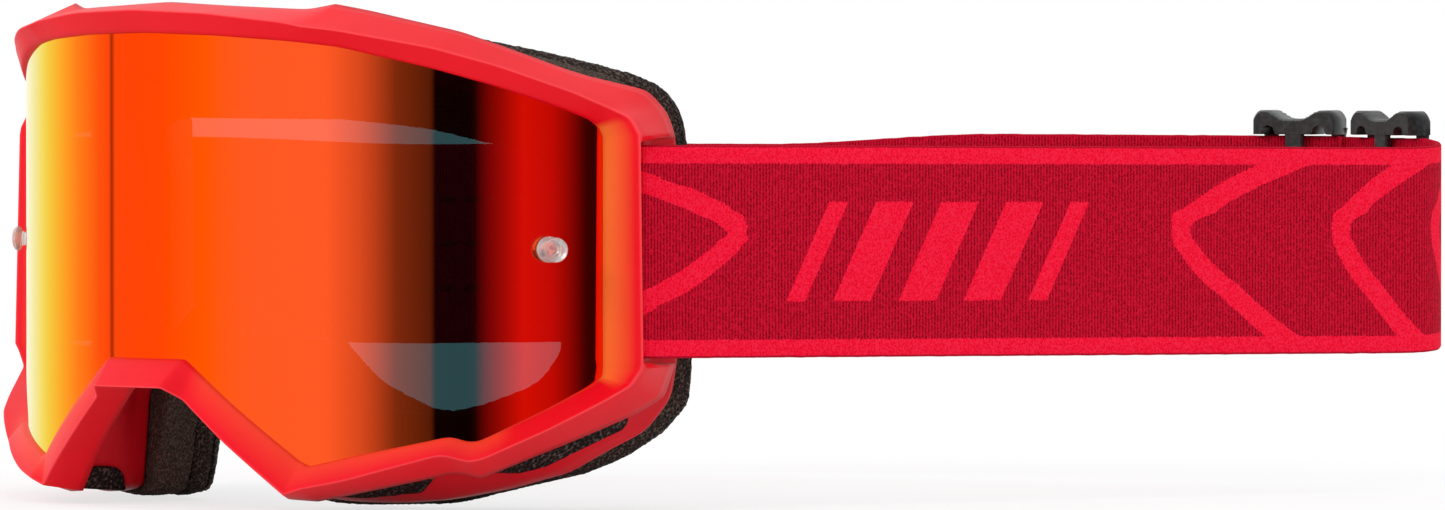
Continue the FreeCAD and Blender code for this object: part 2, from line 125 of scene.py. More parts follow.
def densify(rails, step):
    """Points between the corners, the same number on every rail."""
    count = len(rails[0][1])
    out = [[] for _ in rails]
    marks = []
    for i in range(count):
        longest = 0
        for place, points in rails:
            a, b = points[i], points[(i + 1) % count]
            longest = max(longest, (place(*b) - place(*a)).length / MM)
        pieces = max(1, round(longest / step))
        marks.append(len(out[0]))
        for rail, (place, points) in zip(out, rails):
            a, b = points[i], points[(i + 1) % count]
            for k in range(pieces):
                t = k / pieces
                rail.append(place(*[u + (v - u) * t for u, v in zip(a, b)]))
    return out, marks


print("a rail of 3 points closes to", len(whole([(0, 1), (1, 0), (0, -1)])))


# %% Faces and objects
def quads(rows, width, base=0, loop=True, closed=False, flip=False):
    """Faces between rows of points. loop joins each row's ends; closed, the outer rows."""
    faces = []
    for k in range(rows if closed else rows - 1):
        near, far = base + k * width, base + (k + 1) % rows * width
        for i in range(width if loop else width - 1):
            j = (i + 1) % width
            faces.append((near + i, far + i, far + j, near + j) if flip else
                         (near + i, near + j, far + j, far + i))
    return faces


def add_object(name, data):
    obj = bpy.data.objects.new(name, data)
    bpy.context.scene.collection.objects.link(obj)
    return obj


def new_object(name, verts, faces):
    mesh = bpy.data.meshes.new(name)
    mesh.from_pydata([tuple(v) for v in verts], [], faces)
    mesh.update()
    mesh.shade_smooth()
    return add_object(name, mesh)


def from_bmesh(name, bm):
    mesh = bpy.data.meshes.new(name)
    bm.to_mesh(mesh)
    bm.free()
    mesh.shade_smooth()
    return add_object(name, mesh)


print("a grid of 3 by 4 points has", len(quads(3, 4, loop=False)), "faces")


# %% Rings
def ring(name, rails, step, creases=None, levels=2, corner=None):
    """A closed ring through the rails. creases gives each rail's sharpness, and
    corner the sharpness across the rails at some of their points."""
    loops, marks = densify([(place, whole(half)) for place, half in rails], step)
    n, m = len(loops[0]), len(loops)
    obj = new_object(name, [v for loop in loops for v in loop], quads(m, n, closed=True))
    mesh = obj.data
    layer = mesh.attributes.new("crease_edge", "FLOAT", "EDGE")
    half_count = len(rails[0][1])
    sharp = {}
    for key, value in (corner or {}).items():
        sharp[marks[key]] = value
        if 0 < key < half_count - 1:
            sharp[marks[2 * (half_count - 1) - key]] = value
    for edge in mesh.edges:
        a, b = edge.vertices
        if a // n == b // n:
            layer.data[edge.index].value = (creases or {}).get(a // n, 0)
        elif a % n == b % n:
            layer.data[edge.index].value = sharp.get(a % n, 0)
    sub = obj.modifiers.new("smooth", "SUBSURF")
    sub.levels = sub.render_levels = levels
    return obj


def settle(obj):
    """Apply the modifiers, so the mesh is what is seen."""
    bpy.context.view_layer.update()
    depsgraph = bpy.context.evaluated_depsgraph_get()
    mesh = bpy.data.meshes.new_from_object(obj.evaluated_get(depsgraph))
    obj.modifiers.clear()
    obj.data = mesh
    mesh.shade_smooth()
    return obj


def point_out(obj):
    """Face the surface outward."""
    bm = bmesh.new()
    bm.from_mesh(obj.data)
    bmesh.ops.recalc_face_normals(bm, faces=bm.faces)
    bm.to_mesh(obj.data)
    bm.free()
    return obj


print("ring helpers ready")

# %% [markdown]
# ## Materials
# One function turns a hex colour into the linear numbers that Blender works in, and
# one small function adds a node. Each material is named for what the real one is.


# %% Colour and node helpers
def srgb(code):
    parts = [int(code[i:i + 2], 16) / 255 for i in (1, 3, 5)]
    return tuple(c / 12.92 if c <= 0.04045 else ((c + 0.055) / 1.055) ** 2.4
                 for c in parts) + (1.0,)


def node(tree, kind, links=None, **settings):
    """Add a node. links maps an input to another node, meaning its first output, or to
    one output of it; settings named in_... fill inputs, and the others are properties."""
    made = tree.nodes.new("ShaderNode" + kind)
    for key, value in settings.items():
        if key.startswith("in_"):
            name = key[3:].replace("_", " ")
            slot = int(name) if name.isdigit() else name
            made.inputs[slot].default_value = value
        else:
            setattr(made, key, value)
    for slot, source in (links or {}).items():
        tree.links.new(getattr(source, "outputs", (source,))[0], made.inputs[slot])
    return made


def blank(name):
    """An empty material, its node tree and its surface output."""
    material = bpy.data.materials.new(name)
    material.use_nodes = True
    tree = material.node_tree
    tree.nodes.clear()
    return material, tree, tree.nodes.new("ShaderNodeOutputMaterial")


def stops(ramp, *pairs):
    """Set a colour ramp's stops from (place, hex) pairs."""
    elements = ramp.color_ramp.elements
    while len(elements) > 1:
        elements.remove(elements[-1])
    elements[0].position = pairs[0][0]
    elements[0].color = srgb(pairs[0][1])
    for place, code in pairs[1:]:
        elements.new(place).color = srgb(code)
    return ramp


print("red of the frame, linear:", [round(c, 3) for c in srgb("#EA2D3E")[:3]])

# %% [markdown]
# ### Satin TPU
# The frame is injection-moulded thermoplastic polyurethane, a soft rubbery plastic.
# The mould is spark-eroded, so the surface has a fine grain about 0.3 mm across that
# breaks highlights into a soft sheen. IOR is about 1.5, roughness about 0.45.
# The bevel beside the lens picks up the mirror's orange, and that reflection is painted
# into the base colour; a stored weight on the mesh says where, so the painted tint stays
# with the piece. A second weight paints a pink highlight along the crest line.


# %% Satin TPU
def make_tpu(name, base, shade):
    material, tree, out = blank(name)
    coords = node(tree, "TexCoord")
    grain = node(tree, "TexNoise", {"Vector": coords.outputs["Object"]},
                 in_Scale=3200.0, in_Detail=2.0, in_Roughness=0.6)
    cloud = node(tree, "TexNoise", {"Vector": coords.outputs["Object"]},
                 in_Scale=45.0, in_Detail=3.0)
    tone = stops(node(tree, "ValToRGB", {"Fac": cloud.outputs["Fac"]}),
                 (0.3, shade), (0.7, base))
    # painted reflection: where the mirror's orange is painted into the base colour
    painted_lens_reflection = node(tree, "Attribute", attribute_name="painted_lens_reflection")
    tint = node(tree, "Mix", {0: painted_lens_reflection.outputs["Fac"], 6: tone.outputs["Color"]},
                data_type="RGBA", in_7=srgb("#FF7432"))
    # painted highlight: the crest line's colour is lightened toward pink, where light
    # catches it
    edge = node(tree, "Attribute", attribute_name="crest")
    painted_crest_highlight = node(tree, "MapRange", {"Value": edge.outputs["Fac"]},
                   in_1=0.45, in_2=1.0, in_3=0.0, in_4=0.75)
    tint = node(tree, "Mix", {0: painted_crest_highlight, 6: tint.outputs[2]},
                data_type="RGBA", in_7=srgb("#FF5158"))
    gloss = node(tree, "MapRange", {"Value": grain.outputs["Fac"]}, in_3=0.40, in_4=0.52)
    bump = node(tree, "Bump", {"Height": grain.outputs["Fac"]},
                in_Strength=0.12, in_Distance=0.0002)
    skin = node(tree, "BsdfPrincipled",
                {"Base Color": tint.outputs[2], "Roughness": gloss, "Normal": bump},
                in_IOR=1.5, in_Specular_IOR_Level=0.22)
    tree.links.new(skin.outputs[0], out.inputs[0])
    return material


satin_tpu = make_tpu("satin_tpu", "#F2041E", "#EA021A")
satin_tpu_inner = make_tpu("satin_tpu_face_frame", "#E21426", "#DA1022")
print("materials", satin_tpu.name, satin_tpu_inner.name)

# %% [markdown]
# ### Mirrored polycarbonate
# The lens is clear polycarbonate with a vacuum-deposited multilayer mirror. The layers
# are a few hundred nanometres thick, so the colour of the reflection shifts with angle:
# orange-red face on, yellow at a slant, white at grazing. The little light that comes
# through is the mirror's complement, a dim blue-green. A metallic shader carries the
# reflection, with a pale yellow tint where it grazes, so that the yellow stays strong,
# and a tinted transparent shader is added to it.

# %% Mirrored polycarbonate
mirror_lens, tree, out = blank("mirrored_polycarbonate")
facing = node(tree, "LayerWeight", in_Blend=0.5)
shift = stops(node(tree, "ValToRGB", {"Fac": facing.outputs["Facing"]}),
              (0.0, "#FF5826"), (0.11, "#FF5920"), (0.17, "#FF5600"), (0.25, "#FF4600"),
              (0.34, "#FF4200"), (0.40, "#FF4400"), (0.43, "#FF4E00"), (0.47, "#FF6600"),
              (0.51, "#FF7600"), (0.56, "#FF9200"), (0.61, "#FBAA00"), (0.68, "#F4C810"),
              (0.73, "#F4D850"), (0.80, "#F2E6A0"), (0.88, "#F8F4E4"), (1.0, "#FFFFFF"))
coat = node(tree, "BsdfPrincipled", {"Base Color": shift.outputs["Color"]},
            in_Metallic=1.0, in_Roughness=0.035, in_Specular_Tint=(1.0, 0.96, 0.66, 1))
leak = node(tree, "MapRange", {"Value": facing.outputs["Facing"]},
            in_1=0.25, in_2=0.55, in_3=1.0, in_4=0.1)
pale = node(tree, "VectorMath", {3: leak}, operation="SCALE", in_0=(0.020, 0.060, 0.066))
through = node(tree, "BsdfTransparent", {"Color": pale})
both = node(tree, "AddShader", {0: coat, 1: through})
# From inside, a wearer sees a smoke tint with a faint reflection.
smoke = node(tree, "BsdfTransparent", in_Color=(0.16, 0.17, 0.16, 1))
sheen = node(tree, "BsdfGlossy", in_Color=(0.06, 0.05, 0.045, 1), in_Roughness=0.05)
inside = node(tree, "AddShader", {0: sheen, 1: smoke})
face_side = node(tree, "NewGeometry")
either = node(tree, "MixShader", {0: face_side.outputs["Backfacing"], 1: both, 2: inside})
tree.links.new(either.outputs[0], out.inputs[0])
print("materials", mirror_lens.name)

# %% [markdown]
# ### Open-cell foam and fleece
# Face foam is charcoal polyurethane. Its cells are about 0.3 mm, drawn here at 0.5 to
# 0.7 mm so that they show. Cut faces look black between bright cell edges, so a cell
# pattern drives both colour and bump, and finer dust breaks it up. The filter foam
# behind the vents is the same stuff with coarser cells; the fleece has a soft sheen.


# %% Foam
def make_foam(name, cell_mm, dark, light):
    material, tree, out = blank(name)
    coords = node(tree, "TexCoord")
    cells = node(tree, "TexVoronoi", {"Vector": coords.outputs["Object"]},
                 feature="F1", in_Scale=1000.0 / cell_mm, in_Randomness=1.0)
    dust = node(tree, "TexNoise", {"Vector": coords.outputs["Object"]},
                in_Scale=1300.0, in_Detail=3.0, in_Roughness=0.7)
    speckle = node(tree, "Math", {0: cells, 1: dust}, operation="MULTIPLY")
    tone = stops(node(tree, "ValToRGB", {"Fac": speckle}),
                 (0.12, dark), (0.30, light), (0.46, "#665A52"))
    bump = node(tree, "Bump", {"Height": cells}, in_Strength=0.5, in_Distance=0.0004)
    skin = node(tree, "BsdfPrincipled", {"Base Color": tone, "Normal": bump},
                in_Roughness=0.95, in_Specular_IOR_Level=0.15)
    tree.links.new(skin.outputs[0], out.inputs[0])
    return material


face_foam = make_foam("charcoal_face_foam", 0.55, "#332B27", "#52473F")
soft_foam = make_foam("soft_face_foam", 0.6, "#221B18", "#3C332E")
filter_foam = make_foam("filter_foam", 0.7, "#1A1413", "#2E2423")
fleece = make_foam("brushed_fleece", 0.5, "#0E0B0A", "#2E2724")
fleece.node_tree.nodes["Principled BSDF"].inputs["Sheen Weight"].default_value = 0.3
print("foams", face_foam.name, filter_foam.name, fleece.name)

# %% [markdown]
# ### Woven elastic
# The strap is a jacquard elastic 45 mm wide. Rubber warp threads run along it and a
# looped yarn covers them in columns about 0.75 mm apart. Two colours of yarn change
# places to draw the pattern: plain edge bands, rounded lines and slanted bars.
# The mesh stores how far along and how high each point is, in millimetres, so the
# columns and lines keep their real size round the folds.

# %% Woven elastic
# Each line: where its tip is along the strap, how far it is squeezed, and its shape as
# (height share of 45 mm, distance share of 60 mm).
CHEVRON = ((0.0, 0.54), (0.118, 0.393), (0.207, 0.300), (0.298, 0.212), (0.404, 0.108),
           (0.50, 0.038), (0.56, 0.006), (0.60, 0.0), (0.64, 0.010), (0.702, 0.085),
           (0.793, 0.212), (0.882, 0.370), (1.0, 0.62))
ARC = ((0.0, 0.0), (0.15, 0.06), (0.247, 0.183), (0.356, 0.355), (0.462, 0.483),
       (0.54, 0.556), (0.585, 0.582), (0.63, 0.560), (0.687, 0.488), (0.758, 0.357),
       (0.836, 0.183), (0.92, 0.05), (1.0, 0.0))
LINES = ((-12.0, 1.0, ARC), (132.3, 1.0, CHEVRON), (172.8, 0.70, CHEVRON),
         (199.0, 0.5, CHEVRON))
LINE_REACH = 60.0      # mm along the strap for a full share of distance
LINE_HALF = 2.3        # half the width of a line, mm
BAND_FROM = 18.6       # the plain bands start this far from the middle, mm
HEM_FROM = 22.0        # and the hem thread this far
SLOPE_STEP = 0.012     # step in height used to find a line's slope, share of 45 mm
BAR_SLANT, BAR_BEAT, BAR_FROM = -0.5, 8.0, 3.4    # lean, half pitch and gap of the bars
BARS_START, BARS_END, BARS_HALF = 40.0, 104.0, 10.5   # where the bars lie, mm


def drawn(graph, points):
    """Set a float curve's points; its input 0..1 stands for height -22.5..22.5 mm."""
    track = graph.mapping.curves[0]
    track.points[0].location = points[0]
    track.points[1].location = points[-1]
    for place in points[1:-1]:
        track.points.new(*place)
    graph.mapping.update()
    return graph


print("pattern lines", len(LINES), "tips at", [tip for tip, _, _ in LINES], "mm")


# %% Woven pattern
def pattern(tree, along, height, size, nudge):
    """Where the bright yarn is on top, 0 or 1. nudge makes the yarn's edges uneven."""
    tall = node(tree, "MapRange", {"Value": height}, in_1=-22.23, in_2=22.77)
    edge = node(tree, "Math", {0: size, 1: nudge}, operation="ADD")
    band = node(tree, "Math", {0: edge}, operation="GREATER_THAN", in_1=BAND_FROM)
    tall_next = node(tree, "Math", {0: tall}, operation="ADD", in_1=SLOPE_STEP)
    total = band
    # A line is where the distance along, measured square to its curve, is small.
    for tip, squeeze, points in LINES:
        graphs = []
        for source in (tall, tall_next):
            graph = drawn(node(tree, "FloatCurve", {"Value": source}), points)
            graphs.append(node(tree, "Math", {0: graph}, operation="MULTIPLY_ADD",
                               in_1=LINE_REACH * squeeze, in_2=tip))
        rise = node(tree, "Math", {0: graphs[1], 1: graphs[0]}, operation="SUBTRACT")
        slope = node(tree, "Math", {0: rise}, operation="DIVIDE", in_1=45.0 * SLOPE_STEP)
        square = node(tree, "Math", {0: slope, 1: slope},
                      operation="MULTIPLY_ADD", in_2=1.0)
        root = node(tree, "Math", {0: square}, operation="SQRT")
        pair = node(tree, "Math", {0: graphs[0], 1: graphs[1]}, operation="ADD")
        middle = node(tree, "Math", {0: pair}, operation="MULTIPLY", in_1=0.5)
        gap = node(tree, "Math", {0: along, 1: middle}, operation="SUBTRACT")
        near = node(tree, "Math", {0: gap}, operation="ABSOLUTE")
        level = node(tree, "Math", {0: near, 1: root}, operation="DIVIDE")
        soft = node(tree, "Math", {0: level, 1: nudge}, operation="ADD")
        line = node(tree, "Math", {0: soft}, operation="LESS_THAN", in_1=LINE_HALF)
        total = node(tree, "Math", {0: total, 1: line}, operation="MAXIMUM")
    # Slanted bars: a zigzag of distance and height, kept inside three limits.
    slant = node(tree, "Math", {0: height, 2: along}, operation="MULTIPLY_ADD",
                 in_1=BAR_SLANT)
    beat = node(tree, "Math", {0: slant}, operation="PINGPONG", in_1=BAR_BEAT)
    bar = node(tree, "Math", {0: beat}, operation="GREATER_THAN", in_1=BAR_FROM)
    low = node(tree, "Math", {0: slant}, operation="GREATER_THAN", in_1=BARS_START)
    high = node(tree, "Math", {0: slant}, operation="LESS_THAN", in_1=BARS_END)
    belt = node(tree, "Math", {0: edge}, operation="LESS_THAN", in_1=BARS_HALF)
    for gate in (low, high, belt):
        bar = node(tree, "Math", {0: bar, 1: gate}, operation="MULTIPLY")
    return node(tree, "Math", {0: total, 1: bar}, operation="MAXIMUM")


# %% Woven cloth
def make_webbing(name):
    material, tree, out = blank(name)
    place = node(tree, "UVMap", uv_map="cloth")
    split = node(tree, "SeparateXYZ", {0: place})
    along, height = split.outputs[0], split.outputs[1]
    wobble = node(tree, "TexNoise", {"Vector": place}, in_Scale=2.2, in_Detail=2.0)
    nudge = node(tree, "MapRange", {"Value": wobble.outputs["Fac"]}, in_3=-0.55, in_4=0.55)
    columns = node(tree, "TexWave", {"Vector": place}, wave_type="BANDS",
                   bands_direction="X", in_Scale=0.42, in_Distortion=1.6,
                   in_Detail=2.0, in_2=1.6)
    columns.inputs["Detail Scale"].default_value = 3.0
    loops = node(tree, "TexVoronoi", {"Vector": place}, in_Scale=2.1)
    weave = node(tree, "Mix", {2: columns.outputs["Fac"], 3: loops.outputs["Distance"]},
                 data_type="FLOAT", in_0=0.55)
    field = stops(node(tree, "ValToRGB", {"Fac": weave}),
                  (0.12, "#66000E"), (0.40, "#B40022"), (0.72, "#D41234"))
    bright = stops(node(tree, "ValToRGB", {"Fac": loops.outputs["Distance"]}),
                   (0.05, "#D80020"), (0.3, "#FC0430"), (0.7, "#FF2244"))
    size = node(tree, "Math", {0: height}, operation="ABSOLUTE")
    total = pattern(tree, along, height, size, nudge)
    side = node(tree, "Attribute", attribute_name="outer")
    shown = node(tree, "Math", {0: total, 1: side.outputs["Fac"]}, operation="MULTIPLY")
    painted = node(tree, "Mix", {0: shown, 6: field, 7: bright}, data_type="RGBA")
    hem = node(tree, "Math", {0: size}, operation="GREATER_THAN", in_1=HEM_FROM)
    yarn = node(tree, "Mix", {0: hem, 6: painted.outputs[2]},
                data_type="RGBA", in_7=srgb("#B80828"))
    bump = node(tree, "Bump", {"Height": weave}, in_Strength=0.55, in_Distance=0.0004)
    skin = node(tree, "BsdfPrincipled",
                {"Base Color": yarn.outputs[2], "Normal": bump}, in_Roughness=0.88,
                in_Sheen_Weight=0.10, in_Sheen_Roughness=0.4,
                in_Sheen_Tint=srgb("#FF4058"), in_Specular_IOR_Level=0.08)
    tree.links.new(skin.outputs[0], out.inputs[0])
    return material


webbing = make_webbing("woven_elastic")
print("webbing nodes", len(webbing.node_tree.nodes))

# %% [markdown]
# ### Small parts
# Sliders and clips are moulded acetal, a hard slippery black plastic. The posts are
# clear polycarbonate, the grip lines are cast silicone and the stitches are polyester.


# %% Plastics, silicone and thread
def make_plastic(name, base, worn, roughness, ior):
    material, tree, out = blank(name)
    coords = node(tree, "TexCoord")
    grain = node(tree, "TexNoise", {"Vector": coords.outputs["Object"]},
                 in_Scale=900.0, in_Detail=3.0)
    tone = stops(node(tree, "ValToRGB", {"Fac": grain.outputs["Fac"]}),
                 (0.4, base), (0.75, worn))
    gloss = node(tree, "MapRange", {"Value": grain.outputs["Fac"]},
                 in_3=roughness * 0.8, in_4=roughness * 1.3)
    bump = node(tree, "Bump", {"Height": grain.outputs["Fac"]},
                in_Strength=0.08, in_Distance=0.0001)
    skin = node(tree, "BsdfPrincipled",
                {"Base Color": tone, "Roughness": gloss, "Normal": bump}, in_IOR=ior)
    tree.links.new(skin.outputs[0], out.inputs[0])
    return material


acetal = make_plastic("black_acetal", "#262828", "#3E4141", 0.32, 1.48)
silicone = make_plastic("cast_silicone", "#7A0A18", "#8E1020", 0.35, 1.41)
thread = make_plastic("polyester_thread", "#C81030", "#E02040", 0.7, 1.55)
clear_pc = make_plastic("clear_polycarbonate", "#F2F4F4", "#FFFFFF", 0.06, 1.585)
clear_skin = clear_pc.node_tree.nodes["Principled BSDF"]
clear_skin.inputs["Transmission Weight"].default_value = 0.75
print("small parts", acetal.name, silicone.name, thread.name, clear_pc.name)


# %% [markdown]
# ## Fitting
# Every piece is tied to the CAD body that it moves with, takes the material that it is
# given and hides the plain CAD solids that it stands for. One function does all of it, so
# no piece is left behind when a slider moves.


# %% Fitting
def fit(obj, body, slot, material, *nodes):
    """Give the piece its material, its body and the CAD nodes it stands for; slot is not
    used.
    """
    obj.data.materials.clear()
    obj.data.materials.append(material)
    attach(obj, body)
    if nodes:
        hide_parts(*nodes)
    return obj


# %% [markdown]
# ## Front frame
# The frame is a band round the lens. From the lens outward it climbs a bevel to a
# crest 4 mm proud, and up to 12 mm at the sides, then slopes back to an outer edge
# that lies up to 8 mm behind the lens face and carries the ears for the strap.
# The crest dips and turns at the brow and at the lower corner. A bevelled curve could
# sweep one section round the lens, but here the section changes all the way, so rails
# are used. Each rail below is one of those lines, written as angle round the lens,
# height and distance off the lens.

# %% Front frame rails
SIGHT = [(0, 45.9), (12.2, 45.4), (23.2, 44.3), (27, 43.7), (31, 43.0), (43.9, 38.5),
         (51.9, 35.1), (61.7, 30.2), (65.9, 27.8), (67.6, 26.0), (68.1, 23.9), (68.1, 22.9),
         (68.1, -22.9), (68.1, -24.2), (68.0, -26.2), (66, -28.2), (59.6, -33.0),
         (50.2, -39.5), (48.6, -39.6), (46.3, -38.4), (44.6, -39.0), (33, -42.6),
         (26.7, -44.8), (25.2, -43.7), (15.5, -32.6), (8.6, -24.4), (7.1, -22.8),
         (0, -22.8)]
CREST = [(0, 50.9, 4), (12, 50.2, 4), (23.5, 48.3, 4), (26.2, 47.4, 4.3), (31, 46.6, 4.2),
         (43.6, 43.0, 2.4), (52.7, 39.1, 2.0), (62.8, 33.6, 3.4), (67.5, 30.2, 5.6),
         (69.6, 28.2, 8.6), (70.1, 24.6, 11.0), (70.1, 22.9, 11.2), (70.1, -22.9, 12.4),
         (70.1, -24.6, 11.6), (69.2, -27.9, 9.6), (65.8, -31.0, 9.0), (58.3, -37.1, 8.0),
         (50.5, -43.0, 4.6), (48.4, -43.8, 4), (45.3, -42.2, 4), (43.7, -42.6, 4),
         (31.5, -47.9, 4), (26.1, -49.5, 4), (23.4, -50.9, 2.8), (14.7, -40.2, 3),
         (8.1, -31.3, 3), (6.0, -28.8, 6.5), (0, -28.8, 6.5)]
OUTER = [(0, 52.5, -8), (12, 51.7, -8), (24.8, 51.0, -8), (29.1, 52.2, -8),
         (34.5, 50.8, -8),
         (48.2, 46.4, -7), (54.5, 43.3, -6.3), (65.9, 37.4, -4.5), (76.6, 33.9, -2.5),
         (79.9, 28.9, -2), (81.2, 23.8, -2), (73.3, 23.2, 1.8), (73.3, -23.2, 1.8),
         (81.2, -23.8, -2), (79.4, -31.0, -2.5), (75.0, -34.3, -3), (59.5, -42.8, -4),
         (52.7, -46.7, -5), (51, -47.7, -5), (47.3, -46.4, -5), (44.7, -47.3, -5),
         (33.1, -50.8, -5.5), (26.8, -52.6, -5.7), (22.0, -52.2, -6), (14.5, -40.6, -6),
         (8.3, -31.7, -6), (6.4, -29.2, -6), (0, -29.2, -6)]
seat = [(d, z, 0.04) for d, z in SIGHT]
lip = mix([(d, z, 0.9) for d, z in SIGHT], CREST, 0.06)
near_in = mix(lip, CREST, 0.84)
near_out = mix(CREST, OUTER, 0.12)
tuck = [(d, z, o - 1.2) for d, z, o in mix(OUTER, seat, 0.30)]
inner = [(d, z, -3.2) for d, z, o in mix(OUTER, seat, 0.72)]
under = [(d, z, -1.35) for d, z in SIGHT]
rails = (under, seat, lip, near_in, CREST, near_out, OUTER, tuck, inner)
front = ring("front_frame_shell", [(on_lens, rail) for rail in rails], 4.0,
             creases={0: 0.8, 1: 0.9, 2: 0.6, 3: 0.5, 4: 0.3, 5: 0.5, 6: 0.72, 7: 0.6},
             corner={3: 0.55, 10: 0.9, 11: 0.9, 12: 0.9, 13: 0.9, 9: 0.2, 14: 0.3,
                     17: 0.3, 18: 0.3, 22: 0.6, 23: 0.6, 24: 0.5, 25: 0.9, 26: 0.95})
# Painted reflection: a weight for where the lens's orange is painted into the frame's
# colour, 1 on the bevel beside the lens, 0.55 further out and 0.22 on the lip below the
# lens.
painted_lens_reflection = front.data.attributes.new("painted_lens_reflection", "FLOAT", "POINT")
for v in front.data.vertices:
    x, y, z = v.co / MM
    deg = math.degrees(math.atan2(abs(x), LENS_Y - y))
    proud = math.hypot(x, LENS_Y - y) - LENS_R
    weight = 0.0
    if proud > -0.1 and 65 < deg < 69.4 and abs(z) < 26.5:
        weight = 1.0 if proud < 3 else 0.55    # the bevel beside the lens
    elif -0.1 < proud < 1.2 and z < 0 and deg > 9:
        weight = 0.22                          # the lip below the lens
    painted_lens_reflection.data[v.index].value = weight
# Painted highlight: weight 1 on the crest rail, where the base colour is lightened.
crest_highlight_weight = front.data.attributes.new("crest", "FLOAT", "POINT")
per_rail = len(front.data.vertices) // len(rails)
for i in range(per_rail):
    crest_highlight_weight.data[rails.index(CREST) * per_rail + i].value = 1.0
settle(point_out(front))
fit(front, "goggles", "frame_tpu", satin_tpu, "front_frame")
print("front frame", len(front.data.vertices), "vertices")

# %% [markdown]
# ## Lens
# One sheet 1.2 mm thick, bent to a cylinder, with its edge in the groove. A subdivided
# outline would do for a matt part, but a mirror shows every ripple, so it is a fine grid
# in angle and height on the exact cylinder, and its reflections are straight.

# %% Lens
LENS_REACH = 69.5     # degrees to the sheet's edge, inside the groove
LENS_TUCK = 1.9       # mm of the sheet hidden above and below


def edge_height(deg, top):
    """Height of the visible lens's edge at an angle."""
    turning = 11 if top else 13
    line = SIGHT[:turning] if top else SIGHT[turning:][::-1]
    deg = min(abs(deg), 68.05)     # the visible lens ends just past this
    for (d1, z1), (d2, z2) in zip(line, line[1:]):
        if d1 <= deg <= d2 and d2 > d1:
            return z1 + (z2 - z1) * (deg - d1) / (d2 - d1)
    return line[-1][1]


columns, rows = 150, 18
verts = []
for i in range(columns + 1):
    deg = LENS_REACH * (2 * i / columns - 1)
    top = edge_height(deg, True) + LENS_TUCK
    bottom = edge_height(deg, False) - LENS_TUCK
    for j in range(rows + 1):
        verts.append(on_lens(deg, bottom + (top - bottom) * j / rows, 0))
lens = new_object("lens_sheet", verts, quads(columns + 1, rows + 1, loop=False, flip=True))
fit(lens, "goggles", "lens_mirror", mirror_lens, "lens")
print("lens", round(2 * math.radians(LENS_REACH) * LENS_R), "mm round the curve")

# %% [markdown]
# ## Face frame
# Behind the lens the frame runs back to a flange that follows the face. Its walls are
# recessed under the front frame and carry the vents; over the nose they spread from a
# narrow notch at the front to a wide one at the flange.

# %% Face frame
WALL = [(0, 50.4, -7.5), (14, 49.7, -7.5), (29, 49.8, -7.5), (48, 44.6, -6.5),
        (65, 35.8, -4.5), (73.0, 31.8, -3.5), (75.8, 27.0, -3.5), (76.3, 23.8, -4),
        (76.0, -23.8, -4), (73.3, -31.0, -4), (71.6, -33.4, -4.5), (59, -41.4, -5.5),
        (51, -45.8, -6.5), (44, -45.9, -6.5), (33, -49.4, -6.8), (26.8, -51.3, -6.8),
        (22.6, -51.2, -4.0), (15.3, -40.2, -3.0), (8.9, -31.1, -3.0), (6.9, -28.7, -3.0),
        (0, -28.7, -3.0)]
FLANGE = [(0, 49.5), (20, 49.0), (40, 48.0), (58, 43.4), (71.5, 36.2), (76.3, 32.0),
          (78.2, 27.0), (78.5, 23.0), (78.6, -23.0), (78.1, -31.9), (76.0, -38.6),
          (68.2, -46.9), (60.6, -50.2), (52, -52.4), (45, -53.1), (37, -53.0),
          (27.8, -51.8), (26.2, -41), (25.0, -31.8), (23.2, -28.8), (0, -27.6)]


def inset(half, amount):
    """The outline moved toward its middle by an even amount, corners mitred."""
    loop = [Vector((p[0], p[1])) for p in whole(half)]
    n = len(loop)
    out = []
    for i in range(len(half)):
        before, here, after = loop[i - 1], loop[i], loop[(i + 1) % n]
        a, b = (here - before).normalized(), (after - here).normalized()
        na, nb = Vector((a.y, -a.x)), Vector((b.y, -b.x))
        m = (na + nb).normalized()
        reach = amount / max(0.45, m.dot(na))
        spot = here + m * reach
        if i in (0, len(half) - 1):
            spot.x = 0
        out.append((spot.x, spot.y))
    return out


def at(outline, front_y):
    return [(x, z, front_y) for x, z in outline]


FLANGE_Y = -32.5      # where the walls meet the flange, at the middle
flange_face = on_face(84.0)
flange_in = inset(FLANGE, 10.5)
wall_in = inset(FLANGE, 3.2)
# The wall's inner line: WALL laid flat, moved inward and bent back round the lens.
flat_wall = [(78 * math.sin(math.radians(d)), z) for d, z, _ in WALL]
wall_front = [(math.degrees(math.asin(max(-0.98, min(0.98, x / 80.0)))), z, -8.2)
              for x, z in inset(flat_wall, 2.6)]
face = ring("face_frame_shell",
            [(on_lens, WALL), (flange_face, at(FLANGE, FLANGE_Y)),
             (flange_face, at(FLANGE, -29.6)), (on_face(82.0), at(FLANGE, -27.2)),
             (on_face(82.0), at(flange_in, -27.2)),
             (flange_face, at(flange_in, -29.8)), (flange_face, at(wall_in, -30.4)),
             (on_lens, wall_front)],
            5.0, creases={0: 0.5, 1: 0.3, 2: 0.7, 3: 0.8, 4: 0.8, 5: 0.7, 6: 0.4, 7: 0.4})
settle(point_out(face))
fit(face, "goggles", "frame_tpu", satin_tpu_inner, "face_frame")
print("face frame", len(face.data.vertices), "vertices")

# %% [markdown]
# ## Vent filters
# Between front frame and flange the walls are open, with foam behind. Holes through
# this thin wall would break its smooth surface, so each opening is a strip of foam that
# lies on the wall, flush and with tapered ends like the real openings.


# %% Vent filters
def between(front_rail, back_rail, k, t):
    """A place on the wall: k runs along the outline, t from front to back."""
    side = -1 if k < 0 else 1
    k = abs(k)
    i = min(int(k), len(front_rail) - 2)
    f = k - i
    a = on_lens(*[u + (v - u) * f for u, v in zip(front_rail[i], front_rail[i + 1])])
    b = flange_face(*[u + (v - u) * f for u, v in zip(back_rail[i], back_rail[i + 1])])
    spot = a + (b - a) * t
    return Vector((spot.x * side, spot.y, spot.z))


